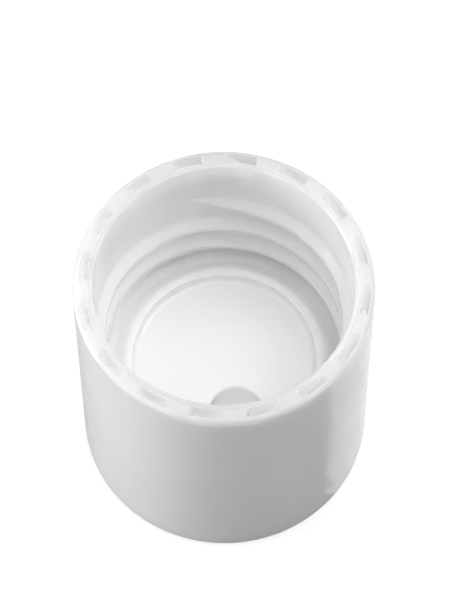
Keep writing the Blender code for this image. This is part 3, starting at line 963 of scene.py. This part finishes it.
tip_height = BLOCK_UNDER + PLUG_TIP_DROP
plug_profile = rounded([(PLUG_NECK, BLOCK_UNDER - OVERCUT, 0),
                        (PLUG_NECK, tip_height - (PLUG_TIP - PLUG_NECK) / 2, PLUG_FILLET),
                        (PLUG_TIP, tip_height, PLUG_TIP_FILLET),
                        (PLUG_TIP - PLUG_TIP_TAPER, tip_height + PLUG_TIP_HEIGHT, PLUG_FILLET),
                        (ROD_MIDDLE, tip_height + PLUG_TIP_HEIGHT, 0)])
plug_place = Matrix.Translation((0, -orifice_offset, 0))
combine(disc_shell, spun("plug", plug_profile, PLUG_COLUMNS, plug_place), "UNION")

pin_root = DISC_RADIUS - EAR_THICKNESS / 2
pin_end = DISC_RADIUS + PIN_LENGTH
pin_profile = rounded([(PIN_RADIUS, pin_root, 0), (PIN_RADIUS, pin_end, PIN_FILLET),
                       (ROD_MIDDLE, pin_end, 0)])
for side in (-1, 1):
    combine(disc_shell, spun("pin", pin_profile, PIN_COLUMNS, along_x(0, 0, PIVOT_HEIGHT, side)), "UNION")
print("disc with its pins:", len(disc_shell.data.polygons), "faces")

# %% [markdown]
# ## Spout channel
#
# When the disc is tipped, the plug leaves the hole, and the bottle's content runs through a round
# channel to the disc's front edge. The channel is a rod cut out of the block, and a short inlet
# beside the plug opens it towards the hole.

# %% Spout channel
CHANNEL_RADIUS = 1.00 * MM
CHANNEL_HEIGHT = 2.90 * MM
INLET_HALF_WIDTH = 1.10 * MM
INLET_GAP = 0.15 * MM
INLET_OVERCUT = OVERCUT / 4

channel_start = orifice_offset + PLUG_NECK
to_front = Matrix.Translation((0, -channel_start, CHANNEL_HEIGHT)) @ Matrix.Rotation(math.pi / 2, 4, "X")
channel_profile = [(CHANNEL_RADIUS, 0), (CHANNEL_RADIUS, skirt_radius - channel_start)]
channel = spun("channel", channel_profile, PLUG_COLUMNS, to_front)
combine(disc_shell, channel, "DIFFERENCE")
inlet = block("inlet", (-INLET_HALF_WIDTH, INLET_HALF_WIDTH),
              (-(orifice_offset + orifice_radius - INLET_GAP), -(channel_start + INLET_GAP)),
              (CHANNEL_HEIGHT, BLOCK_UNDER + INLET_OVERCUT), 0)
combine(disc_shell, inlet, "DIFFERENCE")
weld(disc_shell)

disc_shell.data.materials.clear()
disc_shell.data.materials.append(disc_plastic)
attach(disc_shell, "disc")
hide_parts("disc")
print("disc:", len(disc_shell.data.polygons), "faces")

# %% [markdown]
# ## Background
#
# The picture's background is pure white. A white world would light the cap from all sides and
# wash out its form. So the world is white to the camera, and in reflections, because the skirt of
# a real cap mirrors a white room, but it gives no other light.

# %% World
ROOM_GLOSS = 1.0
PURE_WHITE = (1, 1, 1, 1)


def make_world():
    """A world that is white to the camera and in reflections, and gives no other light."""
    world = bpy.data.worlds.new("studio")
    world.use_nodes = True
    tree = world.node_tree
    background = tree.nodes["Background"]
    background.inputs["Color"].default_value = PURE_WHITE
    path = tree.nodes.new("ShaderNodeLightPath").outputs
    mirrored = maths(tree, "MULTIPLY", path["Is Glossy Ray"], ROOM_GLOSS)
    strength = maths(tree, "ADD", path["Is Camera Ray"], mirrored)
    tree.links.new(strength, background.inputs["Strength"])
    bpy.context.scene.world = world


make_world()
print("room in reflections:", ROOM_GLOSS)

# %% [markdown]
# ## Floor
#
# The floor takes the cap's shadow, and a glow for the camera alone lifts the rest of it to white.
# Near the cap the glow is weaker, so that the shadow stays. The glossy skirt mirrors the floor
# beside it. In the picture its right side mirrors a bright stretch of floor with an uneven edge, so
# a patch of the floor there is bright, but in reflections only.

# %% Floor
FLOOR_SIZE = 4.0
FLOOR_COLOUR = (0.5, 0.5, 0.5, 1)
FLOOR_ROUGHNESS = 0.9
FLOOR_GLOW = 0.60
GLOW_NEAR = 24.0 * MM
GLOW_FAR = 90.0 * MM
PATCH_EDGE = 8.0 * MM
PATCH_SOFT = 0.4 * MM
PATCH_RAGGED = 1.0 * MM
PATCH_GLOW = 0.55
PATCH_SCALE = 800.0
PATCH_DETAIL = 6.0
PATCH_NOISE = (0.40, 0.60)


def bright_patch(tree, coords):
    """Brightness of the floor in reflections: a patch with an uneven edge, on the camera's right."""
    turn = tree.nodes.new("ShaderNodeVectorRotate")
    turn.rotation_type = "Z_AXIS"
    turn.inputs["Angle"].default_value = -(CAMERA_AZIMUTH + math.pi / 2)
    tree.links.new(coords, turn.inputs["Vector"])
    split = tree.nodes.new("ShaderNodeSeparateXYZ")
    tree.links.new(turn.outputs[0], split.inputs[0])
    noise = shader_noise(tree, coords, PATCH_SCALE, PATCH_DETAIL)
    ragged = ramp(tree, noise, *PATCH_NOISE, -PATCH_RAGGED, PATCH_RAGGED)
    along = maths(tree, "ADD", split.outputs["Y"], ragged)
    glow = ramp(tree, along, -PATCH_EDGE, PATCH_SOFT - PATCH_EDGE, 0.0, PATCH_GLOW)
    return maths(tree, "MULTIPLY", glow, maths(tree, "GREATER_THAN", split.outputs["X"], 0.0))


def floor_brightness(tree):
    """Glow for the camera, and the bright patch for reflections."""
    coords = tree.nodes.new("ShaderNodeTexCoord").outputs["Object"]
    distance = tree.nodes.new("ShaderNodeVectorMath")
    distance.operation = "LENGTH"
    tree.links.new(coords, distance.inputs[0])
    glow = ramp(tree, distance.outputs["Value"], GLOW_NEAR, GLOW_FAR, FLOOR_GLOW, 1.0)
    path = tree.nodes.new("ShaderNodeLightPath").outputs
    seen = maths(tree, "MULTIPLY", path["Is Camera Ray"], glow)
    mirrored = maths(tree, "MULTIPLY", path["Is Glossy Ray"], bright_patch(tree, coords))
    return maths(tree, "ADD", seen, mirrored)


def make_floor():
    """A pale floor that keeps the cap's shadow."""
    mesh = bpy.data.meshes.new("floor")
    half = FLOOR_SIZE / 2
    corners = [(-half, -half, 0), (half, -half, 0), (half, half, 0), (-half, half, 0)]
    mesh.from_pydata(corners, [], [(0, 1, 2, 3)])
    floor = add_piece("floor", mesh)
    material = bpy.data.materials.new("pale_floor")
    material.use_nodes = True
    tree = material.node_tree
    shader = tree.nodes["Principled BSDF"]
    shader.inputs["Base Color"].default_value = FLOOR_COLOUR
    shader.inputs["Roughness"].default_value = FLOOR_ROUGHNESS
    shader.inputs["Emission Color"].default_value = PURE_WHITE
    tree.links.new(floor_brightness(tree), shader.inputs["Emission Strength"])
    mesh.materials.append(material)


make_floor()
print("floor", FLOOR_SIZE, "m wide")

# %% [markdown]
# ## Lights
#
# In a white room, light comes to the cap from everywhere, and more of it from one side. Many weak
# softboxes at one distance stand for the room. The strongest stands low on the left, so the cap's
# left side is bright and its front falls into a soft grey. Each row of the table gives a name, the
# azimuth from the camera's right, the elevation, and the power in watts.

# %% Lights
SOFTBOX_DISTANCE = 0.40
SOFTBOX_SIZE = 0.20
SOFTBOXES = [
    ("left_low", 180, 12, 0.91), ("left_front_low", 225, 12, 0.20), ("left_middle", 180, 34, 0.13),
    ("left_high", 180, 57, 0.24), ("right_middle", 0, 34, 0.13), ("right_high", 0, 57, 0.33),
    ("back_right_low", 45, 12, 0.25), ("back_low", 90, 12, 0.13), ("back_right_high", 45, 57, 0.16),
    ("top", 90, 89, 0.17), ("right_top", 0, 74, 0.15), ("back_top", 60, 74, 0.08),
    ("front_left_top", 240, 74, 0.07), ("front_right_top", 300, 74, 0.15)]


def softbox(name, azimuth_deg, elevation_deg, power):
    """A square area light that faces the cap, and that the camera doesn't see."""
    light = bpy.data.lights.new(name, "AREA")
    light.shape = "SQUARE"
    light.size = SOFTBOX_SIZE
    light.energy = power
    lamp = add_piece(name, light)
    azimuth = math.radians(azimuth_deg) + CAMERA_AZIMUTH + math.pi / 2
    elevation = math.radians(elevation_deg)
    toward = Vector((math.cos(azimuth) * math.cos(elevation), math.sin(azimuth) * math.cos(elevation),
                     math.sin(elevation)))
    lamp.location = toward * SOFTBOX_DISTANCE
    lamp.rotation_mode = "QUATERNION"
    lamp.rotation_quaternion = toward.to_track_quat("Z", "Y")
    lamp.visible_camera = False


for row in SOFTBOXES:
    softbox(*row)
print(len(SOFTBOXES), "softboxes,", round(sum(row[-1] for row in SOFTBOXES), 2), "W together")

# %% [markdown]
# ## Light in the pouring hole
#
# On the real cap the hole is grey and not black, because white plastic lets some light through
# the deck and the collar. The render follows such light only a little way, so a tiny lamp between
# the hole's mouth and the plug stands for it. The camera and the reflections don't see it.

# %% Light in the pouring hole
HOLE_LAMP_POWER = 0.00003
HOLE_LAMP_RADIUS = 0.3 * MM
HOLE_LAMP_HEIGHT = 7.2 * MM

hole_light = bpy.data.lights.new("hole_light", "POINT")
hole_light.shadow_soft_size = HOLE_LAMP_RADIUS
hole_light.energy = HOLE_LAMP_POWER
hole_lamp = add_piece("hole_light", hole_light)
hole_lamp.location = (0.0, -orifice_offset, HOLE_LAMP_HEIGHT)
hole_lamp.visible_camera = False
hole_lamp.visible_glossy = False

# %% [markdown]
# ## Finish
#
# The view transform is Standard, so that a colour renders as it is written. The boxes of the
# solid and of the dressed cap are kept side by side.

# %% Finish
bpy.context.scene.view_settings.view_transform = "Standard"
